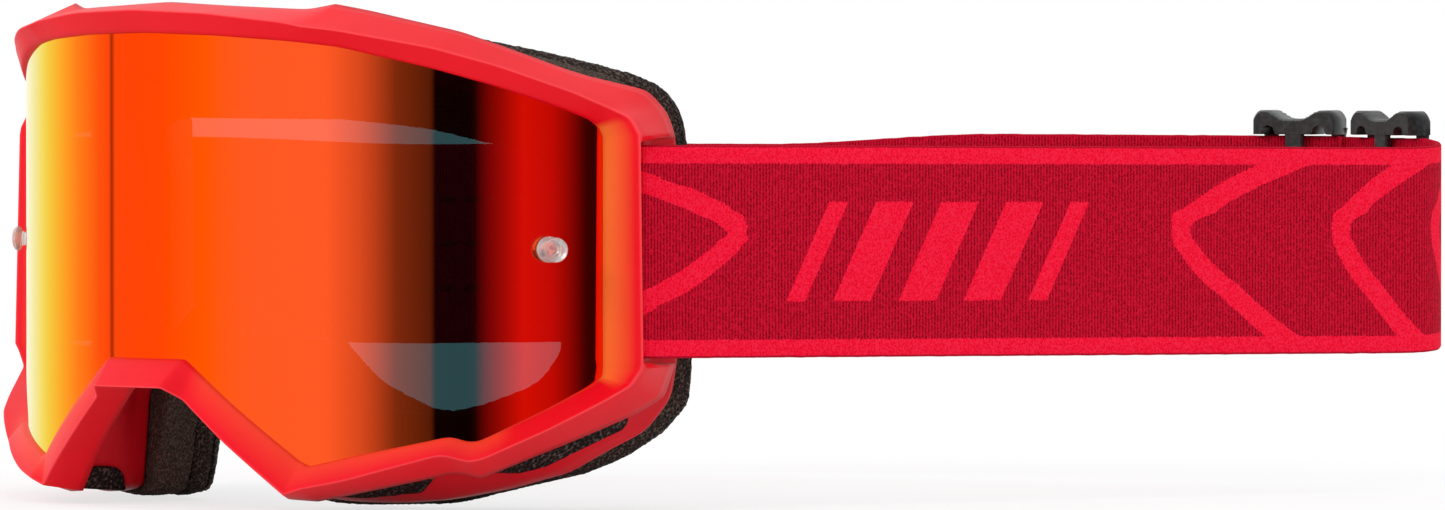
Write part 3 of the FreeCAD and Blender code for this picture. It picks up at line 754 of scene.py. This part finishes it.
def vent_strips(name, spans, finish, node_name, arch=0, lean=0.0):
    """Foam strips on the wall. Each span is (start, end, front share, back share);
    arch is the side of an arched cut at the nose's foot, and lean thins the far end."""
    verts, faces = [], []
    if arch:
        # the arched cut at the foot of the nose wall, with foam behind it
        for i in range(17):
            t = 0.02 + 0.92 * i / 16
            tall = 0.58 * math.sqrt(max(0.0, 1 - ((t - 0.48) / 0.47) ** 4))
            for j in range(5):
                spot = between(WALL, at(FLANGE, FLANGE_Y), arch * (15.85 + tall * j / 4), t)
                verts.append(spot + Vector((-arch * 0.5, 0, -0.15)) * MM)
        faces += quads(17, 5, loop=False)
    n, m = 40, 6
    for k1, k2, t1, t2 in spans:
        faces += quads(n + 1, m + 1, base=len(verts), loop=False)
        for i in range(n + 1):
            s = i / n
            share = min(1.0, 1.7 * math.sin(math.pi * s) + 0.03) * (1 - lean * s)
            for j in range(m + 1):
                t = t1 + (t2 - t1) * share * j / m
                spot = between(WALL, at(FLANGE, FLANGE_Y), k1 + (k2 - k1) * s, t)
                out = Vector((spot.x * 0.35, 0, spot.z)).normalized()
                verts.append(spot + out * (0.55 * MM + 0.12 * MM * noise.noise(spot * 900)))
    strip = new_object(name, verts, faces)
    solid = strip.modifiers.new("depth", "SOLIDIFY")
    solid.thickness = 0.5 * MM
    solid.offset = 0
    settle(strip)
    return fit(strip, "goggles", "foam_filter", finish, node_name)


vent_strips("vent_filter_top_foam", [(-2.9, -1.9, 0.2, 0.85), (-1.75, -0.15, 0.2, 0.85),
                                     (0.15, 1.75, 0.2, 0.85), (1.9, 2.9, 0.2, 0.85)],
            filter_foam, "vent_filter_top")
LOWER = [(9.2, 12.0, 0.0, 0.88), (12.95, 14.7, 0.0, 0.60)]
vent_strips("vent_filter_lower_left_foam", LOWER, filter_foam, "vent_filter_lower_left", 1,
            0.5)
vent_strips("vent_filter_lower_right_foam", [(-a, -b, c, d) for a, b, c, d in LOWER],
            filter_foam, "vent_filter_lower_right", -1, 0.5)
print("vent strips made")

# %% [markdown]
# ## Face foam
# Three glued layers. A cloth simulation could swell them, but face foam is stiff and
# keeps the shape it was cut to. It has no sharp edges, so each ring is rounded by
# subdivision and its skin is roughened by a fraction of a millimetre with noise.

# %% Face foam
FOAM = [(0, 48.3), (20, 47.9), (41, 46.0), (57.5, 41.6), (63, 39.6), (68, 37.3), (71, 34.8),
        (72.9, 31), (73.7, 25), (74.2, -26), (73.9, -33.0), (71.6, -38.9), (67.4, -44.3),
        (62, -47.8), (44, -53.5), (31, -53.8), (23.5, -52.8), (21.5, -48), (19.5, -38),
        (15.5, -29.5), (9, -23.0), (0, -21)]
EYES = [(0, 27.7), (16, 27.7), (29, 27.7), (38, 26.8), (46, 25.8), (56, 22.8), (62, 20.4),
        (65.3, 17.2), (66.5, 14), (66.5, -21), (63.5, -28.0), (56, -32.3), (48, -34.6),
        (42, -34.4), (37, -33.8), (32, -31.2), (26, -28), (22, -24), (17.6, -19.5),
        (13, -15.6), (9, -12.5), (0, -10.5)]


def foam_ring(name, front_r, front_y, rear_r, rear_y, roundness, grow, finish, slot,
              node_name):
    """One foam layer from its front face to its rear face; roundness softens its rear
    edge and grow is its bulge, in mm."""
    edge = inset(FOAM, roundness)
    inner_edge = inset(EYES, -roundness * 0.6)
    out_mid = inset(FOAM, -grow)
    front_place, rear_place = on_face(front_r), on_face(rear_r)
    middle = on_face((front_r + rear_r) / 2)
    rails = [(front_place, at(inset(FOAM, 0.15), front_y)),
             (middle, at(out_mid, front_y + (rear_y - front_y) * 0.45)),
             (rear_place, at(FOAM if roundness < 1 else inset(FOAM, roundness * 0.3),
                             rear_y - roundness)),
             (rear_place, at(edge, rear_y)),
             (rear_place, at(inner_edge, rear_y)),
             (middle, at(EYES, front_y + (rear_y - front_y) * 0.5)),
             (front_place, at(EYES, front_y))]
    obj = ring(name, rails, 5.0, creases={0: 0.8, 6: 0.8}, levels=3)
    settle(point_out(obj))
    for v, normal in [(v, v.normal.copy()) for v in obj.data.vertices]:
        v.co += normal * (0.22 * MM * noise.noise(v.co * 1400))
    return fit(obj, "goggles", slot, finish, node_name)


foam_ring("face_foam_base_ring", 82, -27.0, 81, -17.0, 0.3, 0.2, face_foam, "foam_face",
          "face_foam_base")
foam_ring("face_foam_mid_ring", 81, -16.9, 80, -11.0, 0.5, 0.5, soft_foam, "foam_face",
          "face_foam_mid")
foam_ring("face_fleece_ring", 80, -10.9, 80, -7.6, 2.2, 0.0, fleece, "fleece",
          "face_fleece")
print("foam rings made")

# %% [markdown]
# ## Strap
# Two straps meet at the back. Each is walked as runs and bends, as the solid is, and
# swept as a ribbon with rounded edges. The left strap lies outside the right one. Taut
# elastic hardly sags, so its small droop is drawn and not simulated.


# %% Strap path
LEFT_START, LEFT_HEADING, RETURN_HEADING, RIGHT_HEADING = (86.2, 10.4), 71.0, 197.3, 262.0
LEFT_PATH = [(190.5, 0), (14, 100), (21, 0), (8, 26.3), (36, 0)]
RIGHT_PATH = [(126.8, 0), (101, RIGHT_HEADING - RETURN_HEADING), (81.5, 0)]


def walk(start, heading, steps, pitch=1.5):
    """Points, left normals and distances along a path of (run, 0) and (radius, turn)."""
    point, out, gone = Vector(start), [], 0.0
    for size, turn in steps:
        length = size if turn == 0 else size * math.radians(turn)
        count = max(2, round(length / pitch))
        for i in range(count):
            share = i / count
            angle = math.radians(heading + turn * share)
            left = Vector((-math.sin(angle), math.cos(angle)))
            first = math.radians(heading)
            if turn:
                centre = point + Vector((-math.sin(first), math.cos(first))) * size
                spot = centre - left * size
            else:
                spot = point + Vector((math.cos(first), math.sin(first))) * length * share
            out.append((spot, left, gone + length * share))
        last = math.radians(heading + turn)
        if turn:
            point = centre - Vector((-math.sin(last), math.cos(last))) * size
        else:
            point = point + Vector((math.cos(first), math.sin(first))) * length
        heading += turn
        gone += length
    last = math.radians(heading)
    out.append((point, Vector((-math.sin(last), math.cos(last))), gone))
    return out


left_line = walk(LEFT_START, LEFT_HEADING, LEFT_PATH)
lap = next(p for p in left_line if abs(p[2] - (left_line[-1][2] - 36)) < 0.01)
right_line = walk(lap[0], RETURN_HEADING, RIGHT_PATH)
print("left strap %.0f mm, right strap %.0f mm" % (left_line[-1][2], right_line[-1][2]))

# %% Strap ribbons
HALF, THICK = 22.45, 0.8      # half the webbing's height and half its thickness, mm
LAP = 1.7                     # the right strap lies this far inside the left one, mm
# How far each strap hangs below its level line: (distance along, drop), in mm.
SAG_LEFT = ((0, 0), (190, 1.9), (200, 1.6), (213, 0.3), (300, 0))
SAG_RIGHT = ((0, 0), (82, 0.0), (140, 2.6), (215, 2.6), (290, 0.3), (330, 0))


def droop(sag, s):
    for (s1, d1), (s2, d2) in zip(sag, sag[1:]):
        if s <= s2:
            t = max(0.0, (s - s1) / (s2 - s1))
            if sag is SAG_RIGHT:
                t = t * t * (3 - 2 * t)
            return d1 + (d2 - d1) * t
    return 0.0


def ribbon(name, line, shift, sag, start_s=0.0):
    """Ribbon round a path; stores millimetres along and up in the cloth map."""
    rows = 24
    section = []
    for k in range(rows + 1):
        section.append((-HALF + 0.5 + (2 * HALF - 1.0) * k / rows, -THICK))
    section += [(HALF - 0.1, -THICK * 0.65), (HALF, 0.0), (HALF - 0.1, THICK * 0.65)]
    for k in range(rows + 1):
        section.append((HALF - 0.5 - (2 * HALF - 1.0) * k / rows, THICK))
    section += [(-HALF + 0.1, THICK * 0.65), (-HALF, 0.0), (-HALF + 0.1, -THICK * 0.65)]
    m = len(section)
    verts, outer, cloth = [], [], []
    for spot, left, s in line:
        for z, depth in section:
            ripple = 0.10 * noise.noise(Vector((s * 0.35, z * 0.05, 3.0)))
            place = spot + left * (shift + depth)
            verts.append(Vector((place.x, place.y, z + ripple - droop(sag, s))) * MM)
            outer.append(1.0 if depth < THICK * 0.3 else 0.0)
            cloth.append((s + start_s, z))
    faces = quads(len(line), m)
    faces.append(tuple(range(m)))
    faces.append(tuple((len(line) - 1) * m + k for k in reversed(range(m))))
    obj = new_object(name, verts, faces)
    side = obj.data.attributes.new("outer", "FLOAT", "POINT")
    for i, value in enumerate(outer):
        side.data[i].value = value
    layer = obj.data.uv_layers.new(name="cloth")
    for loop in obj.data.loops:
        layer.data[loop.index].uv = cloth[loop.vertex_index]
    return point_out(obj)


strap_left = ribbon("strap_left_webbing", left_line, 0.0, SAG_LEFT)
fit(strap_left, "goggles", "webbing", webbing, "strap_left")
strap_right = ribbon("strap_right_webbing", right_line, LAP, SAG_RIGHT, start_s=260.0)
fit(strap_right, "goggles", "webbing", webbing, "strap_right")
print("straps", len(strap_left.data.vertices), len(strap_right.data.vertices), "vertices")

# %% [markdown]
# ## Grip lines, stitches and clips
# Silicone is printed on the inside of the strap in rows of short dashes. The strap ends
# are closed by a zigzag of thread, and each front end is held by a ribbed clip.


# %% Grip lines
def grip(name, line, depth, sag, node_name):
    verts, faces = [], []
    for z in (-10, 0, 10):
        for i in range(0, len(line) - 4, 4):
            base = len(verts)
            for j in range(4):
                spot, left, s = line[i + j]
                swell = (0.25, 1, 1, 0.25)[j]
                for dz, dd in ((-0.8, 0), (-0.5, 0.3), (0, 0.38), (0.5, 0.3), (0.8, 0)):
                    place = spot + left * (depth + dd * swell)
                    verts.append(Vector((place.x, place.y,
                                         z + dz * swell - droop(sag, s))) * MM)
            faces += quads(4, 5, base=base, loop=False, flip=True)
    obj = new_object(name, verts, faces)
    return fit(point_out(obj), "goggles", "silicone", silicone, node_name)


# The silicone lies on the straight runs only, in mm along each strap.
near_part = [p for p in left_line if 18 < p[2] < 188]
far_part = [p for p in right_line if 128 < p[2] < 235]
grip("silicone_lines_left", near_part, THICK, SAG_LEFT, "silicone_grip_left")
grip("silicone_lines_right", far_part, LAP + THICK, SAG_RIGHT, "silicone_grip_right")
print("grip lines on", len(near_part), "and", len(far_part), "steps")


# %% Stitches
def stitch(name, along, side, node_name):
    spot0, left, _ = lap
    ahead = Vector((math.cos(math.radians(RETURN_HEADING)),
                    math.sin(math.radians(RETURN_HEADING))))
    curve = bpy.data.curves.new(name, "CURVE")
    curve.dimensions = "3D"
    curve.bevel_depth = 0.22 * MM
    curve.bevel_resolution = 2
    spline = curve.splines.new("POLY")
    count = 52
    spline.points.add(count - 1)
    for i in range(count):
        z = -19.5 + 39.0 * i / (count - 1)
        a = along + (0.9 if i % 2 else -0.9)
        lift = side * (0.16 if i % 2 else 0.1)
        place = spot0 + ahead * a + left * (SIDES[side] + lift)
        spline.points[i].co = (place.x * MM, place.y * MM, z * MM, 1)
    drawn = add_object(name, curve)
    mesh = bpy.data.meshes.new_from_object(drawn)
    bpy.data.objects.remove(drawn)
    return fit(add_object(name, mesh), "goggles", "thread", thread, node_name)


SIDES = {-1: -THICK, 1: LAP + THICK}
stitch("zigzag_left_end", 32, -1, "strap_stitch_left")
stitch("zigzag_right_end", 28, 1, "strap_stitch_right")
print("zigzag rows made")


# %% Clips
def local_mesh(name, boxes, spot, heading, bevel):
    """Bevelled blocks in a strap's own directions: along, toward the loop, up."""
    angle = math.radians(heading)
    ahead = Vector((math.cos(angle), math.sin(angle), 0))
    left = Vector((-math.sin(angle), math.cos(angle), 0))
    place = Matrix((ahead, left, Vector((0, 0, 1)))).transposed().to_4x4()
    place.translation = Vector((spot[0], spot[1], 0))
    bm = bmesh.new()
    for (a1, b1, c1), (a2, b2, c2) in boxes:
        made = bmesh.ops.create_cube(bm, size=1.0)["verts"]
        low, high = Vector((a1, b1, c1)), Vector((a2, b2, c2))
        for v in made:
            v.co = (low + high) / 2 + v.co * (high - low)
    bmesh.ops.bevel(bm, geom=bm.edges[:], offset=bevel, segments=2, affect="EDGES",
                    profile=0.6)
    for v in bm.verts:
        v.co = (place @ v.co) * MM
    return from_bmesh(name, bm)


for side, (spot, _, _), heading, sign, extra in (
        ("left", left_line[0], LEFT_HEADING, 1, 0.0),
        ("right", right_line[-1], RIGHT_HEADING, -1, LAP)):
    low, high = (0.3, 11.0) if sign > 0 else (-11.0, -0.3)
    blocks = [((low, 0.85 + extra, -21), (high, 2.3 + extra, 21))]
    for k in range(7):
        z = 6 * k - 18
        blocks.append(((low + 1, 2.2 + extra, z - 0.8), (high - 1, 3.0 + extra, z + 0.8)))
    clip = local_mesh("strap_clip_%s_plate" % side, blocks, spot, heading, 0.25)
    fit(clip, "goggles", "clip", acetal, "strap_clip_" + side)
print("clips made")

# %% [markdown]
# ## Sliders
# Each slider has two outer bars and one inner bar, joined above the strap by a tall
# cheek and below it by a thin rim. The cheek is dished for the thumb and has fine grip
# teeth, and its foot has two arched cuts. Cutting them from blocks would leave ragged
# faces, so each cheek is one outline given thickness, with softened outer faces.


# %% Sliders
def add_cheek(bm, put, profile, inside, outside, level):
    """A plate across the strap's edge, with softened outer faces."""
    layers = []
    for b, s in ((-outside - 1.9, 0.45), (-outside - 1.2, 0), (inside + 1.2, 0),
                 (inside + 1.9, 0.45)):
        layers.append([bm.verts.new(put(a * (1 - s * 0.06), b,
                                        level * (z - s * (0.9 if z > 25 else -0.3))))
                       for a, z in profile])
    n = len(profile)
    for first, second in zip(layers, layers[1:]):
        for i in range(n):
            j = (i + 1) % n
            bm.faces.new((first[i], first[j], second[j], second[i]))
    bm.faces.new(layers[0])
    bm.faces.new(list(reversed(layers[-1])))


def slider(name, body, spot, heading, inside, node_name):
    angle = math.radians(heading)
    ahead = Vector((math.cos(angle), math.sin(angle), 0))
    left = Vector((-math.sin(angle), math.cos(angle), 0))
    outside = 1.4
    bm = bmesh.new()

    def put(a, b, z):
        return (Vector((spot.x, spot.y, 0)) + ahead * a + left * b + Vector((0, 0, z))) * MM

    end, foot, steps = 9.7, 22.75, 40
    profile = []
    for i in range(steps + 1):
        a = end * (2 * i / steps - 1)
        fall = max(0.0, abs(a) - 7.6) / 2.1
        dish = 1.9 * math.exp(-((a - 0.3) / 4.6) ** 4)
        tooth = 0.16 * (i % 2) if abs(a) < 5.5 else 0
        profile.append((a, 28.1 - dish - tooth - 1.9 * fall ** 2.4))
    cuts = [(end, foot), (7.9, foot), (7.4, 24.2), (6.2, 24.7), (5.0, 24.2), (4.4, foot)]
    add_cheek(bm, put, profile + cuts + [(-a, z) for a, z in reversed(cuts)], inside,
              outside, 1)
    rim = [(-end, 23.6), (-9.3, 24.3), (9.3, 24.3), (end, 23.6), (end, 22.9), (-end, 22.9)]
    add_cheek(bm, put, rim, inside, outside, -1)
    for centre, half, b1, b2 in ((-8.0, 1.6, -outside - 1.75, -outside - 0.1),
                                 (8.0, 1.6, -outside - 1.75, -outside - 0.1),
                                 (0.0, 2.1, inside + 0.1, inside + 1.75)):
        section = [(-half, b1 + 0.4), (-half + 0.4, b1), (half - 0.4, b1),
                   (half, b1 + 0.4), (half, b2 - 0.4), (half - 0.4, b2),
                   (-half + 0.4, b2), (-half, b2 - 0.4)]
        rows = []
        for z in (-23.6, -22.4, 22.4, 24.2):
            flare = 1.25 if abs(z) > 23 else 1.0
            rows.append([bm.verts.new(put(centre + a * flare, b, z)) for a, b in section])
        for first, second in zip(rows, rows[1:]):
            for i in range(8):
                j = (i + 1) % 8
                bm.faces.new((first[i], first[j], second[j], second[i]))
    bmesh.ops.recalc_face_normals(bm, faces=bm.faces)
    obj = from_bmesh(name, bm)
    obj.data.set_sharp_from_angle(angle=math.radians(38))
    return fit(obj, body, "slider", acetal, node_name)


fold_end = next(p for p in left_line if abs(p[2] - (190.5 + 14 * math.radians(100))) < 0.01)
fold_heading = math.radians(LEFT_HEADING + 100)
sewn_spot = fold_end[0] + Vector((math.cos(fold_heading), math.sin(fold_heading))) * 10
return_angle = math.radians(RETURN_HEADING)
main_spot = lap[0] + Vector((math.cos(return_angle), math.sin(return_angle))) * 10
slider("slider_sewn_body", "slider_sewn", sewn_spot, LEFT_HEADING + 100, 1.4, "slider_sewn")
slider("slider_main_body", "slider_main", main_spot, RETURN_HEADING, 3.1, "slider_main")
print("sliders made")


# %% [markdown]
# ## Tear-off posts
# Clear rivets that hold tear-off films: a stem, a collar on the lens and a domed head
# with a shallow dimple. A moulded rivet is round all the way, so one profile is turned
# about its axis, which points straight out of the lens.

# %% Tear-off posts
def post(name, side, node_name):
    aim = math.radians(60) * side
    outward = Vector((math.sin(aim), -math.cos(aim), 0))
    start = Vector((0, LENS_Y, 0.6)) + outward * LENS_R
    turn = outward.to_track_quat("Z", "Y").to_matrix()
    profile = [(0.0, -2.2), (2.8, -2.2), (3.1, -1.9), (3.1, -1.45), (1.42, -1.3),
               (1.42, 0.12), (2.5, 0.15), (2.75, 0.4), (2.75, 0.75), (2.4, 1.0),
               (1.5, 1.15), (1.42, 3.6),
               (1.8, 4.3), (2.5, 4.55), (2.65, 4.9), (2.6, 5.4), (2.1, 5.85), (1.3, 5.95),
               (0.9, 5.7), (0.0, 5.5)]
    steps = 32
    verts = []
    for radius, height in profile:
        for i in range(steps):
            a = 2 * math.pi * i / steps
            rim = Vector((radius * math.cos(a), radius * math.sin(a), height))
            verts.append((start + turn @ rim) * MM)
    obj = new_object(name, verts, quads(len(profile), steps))
    bm = bmesh.new()
    bm.from_mesh(obj.data)
    bmesh.ops.remove_doubles(bm, verts=bm.verts, dist=1e-6)
    bmesh.ops.recalc_face_normals(bm, faces=bm.faces)
    bm.to_mesh(obj.data)
    bm.free()
    return fit(obj, "goggles", "post_clear", clear_pc, node_name)


post("tear_off_post_left_rivet", 1, "tear_off_post_left")
post("tear_off_post_right_rivet", -1, "tear_off_post_right")
print("posts made")

# %% [markdown]
# ## Stage and light
# A pale floor just under the goggles fades to the white backdrop. The lens mirrors what
# stands round it: a bright wall in front and to the wearer's right, a dark gap, a
# red panel and dark space beyond. That is set in the world for reflected rays only, so
# the soft white light that falls on everything else stays even. The floor is left out
# of reflections for the same reason.

# %% Floor
floor_z = min(cad_low.z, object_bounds()[0].z) - 0.0006
floor = new_object("floor", [Vector((math.cos(a) * 9, math.sin(a) * 9, floor_z))
                             for a in [i * math.pi / 32 for i in range(64)]],
                   [tuple(range(64))])
material, tree, out = blank("pale_floor")
coords = node(tree, "TexCoord")
far = node(tree, "VectorMath", {0: coords.outputs["Object"]}, operation="LENGTH")
fade = node(tree, "MapRange", {"Value": far.outputs["Value"]},
            in_1=0.10, in_2=0.5, in_3=0.72, in_4=1.0)
paint = node(tree, "BsdfDiffuse", in_Color=(0.93, 0.93, 0.93, 1))
glow = node(tree, "Emission", in_Color=(1, 1, 1, 1), in_Strength=1.0)
seen = node(tree, "LightPath")
share = node(tree, "Math", {0: fade, 1: seen.outputs["Is Camera Ray"]},
             operation="MULTIPLY")
surface = node(tree, "MixShader", {0: share, 1: paint, 2: glow})
tree.links.new(surface.outputs[0], out.inputs[0])
floor.data.materials.append(material)
floor.visible_glossy = False
print("floor at", round(floor_z / MM, 1), "mm")

# %% World
world = bpy.data.worlds.new("studio")
bpy.context.scene.world = world
world.use_nodes = True
tree = world.node_tree
tree.nodes.clear()
out = tree.nodes.new("ShaderNodeOutputWorld")
coords = node(tree, "TexCoord")
split = node(tree, "SeparateXYZ", {0: coords.outputs["Generated"]})
front_y = node(tree, "Math", {0: split.outputs[1]}, operation="MULTIPLY", in_1=-1.0)
around = node(tree, "Math", {0: split.outputs[0], 1: front_y.outputs[0]},
              operation="ARCTAN2")
turned = node(tree, "MapRange", {"Value": around}, in_1=-math.pi, in_2=math.pi)
# The walls round the goggles: direction in degrees from straight ahead, and colour.
WALLS = ((-179, "#FFFFFF"), (-59.6, "#FFFFFF"), (-59.1, "#969696"), (-58.4, "#969696"),
         (-57.9, "#FFFFFF"), (14, "#FFFFFF"), (24, "#D8D4D0"), (34, "#7A8070"),
         (44.3, "#525A48"), (45.0, "#0C0B0B"), (56, "#0A0808"), (64, "#9A2A28"),
         (70, "#D23A38"), (78, "#C03030"), (88, "#3A1010"), (96, "#100404"),
         (120, "#181010"), (179, "#E0E0E0"))
walls = stops(node(tree, "ValToRGB", {"Fac": turned}),
              *[((deg + 180.0) / 360.0, code) for deg, code in WALLS])
rays = node(tree, "LightPath")
rise = node(tree, "MapRange", {"Value": split.outputs[2]},
            in_1=-0.5, in_2=-0.1, in_3=0.25, in_4=1.0)
lift = node(tree, "MapRange", {"Value": split.outputs[2]},
            in_1=-0.6, in_2=0.7, in_3=0.34, in_4=0.98)
mirror_light = node(tree, "Background", {"Color": walls.outputs["Color"],
                                         "Strength": rise})
even_light = node(tree, "Background", {"Strength": lift}, in_Color=(1, 1, 1, 1))
backdrop = node(tree, "Background", in_Color=(1, 1, 1, 1), in_Strength=1.0)
first = node(tree, "MixShader", {0: rays.outputs["Is Glossy Ray"], 1: even_light,
                                 2: mirror_light})
second = node(tree, "MixShader", {0: rays.outputs["Is Camera Ray"], 1: first,
                                  2: backdrop})
tree.links.new(second.outputs[0], out.inputs[0])
print("mirrored walls", len(WALLS), "stops")


# %% Lamps
def lamp(name, place, size, power, aim=(0, 0, 0)):
    """A soft square lamp aimed at a point."""
    light = bpy.data.lights.new(name, "AREA")
    light.shape = "SQUARE"
    light.size = size
    light.energy = power
    obj = add_object(name, light)
    obj.location = place
    obj.rotation_euler = (Vector(place) - Vector(aim)).to_track_quat("Z", "Y").to_euler()
    obj.visible_glossy = False
    return obj


lamp("key_from_the_front", (-0.5, -1.5, 1.1), 0.9, 9.0)
lamp("top_fill", (0.3, -0.1, 1.6), 1.2, 2.5)

print("CAD", [round(c / MM, 1) for c in (*cad_low, *cad_high)])
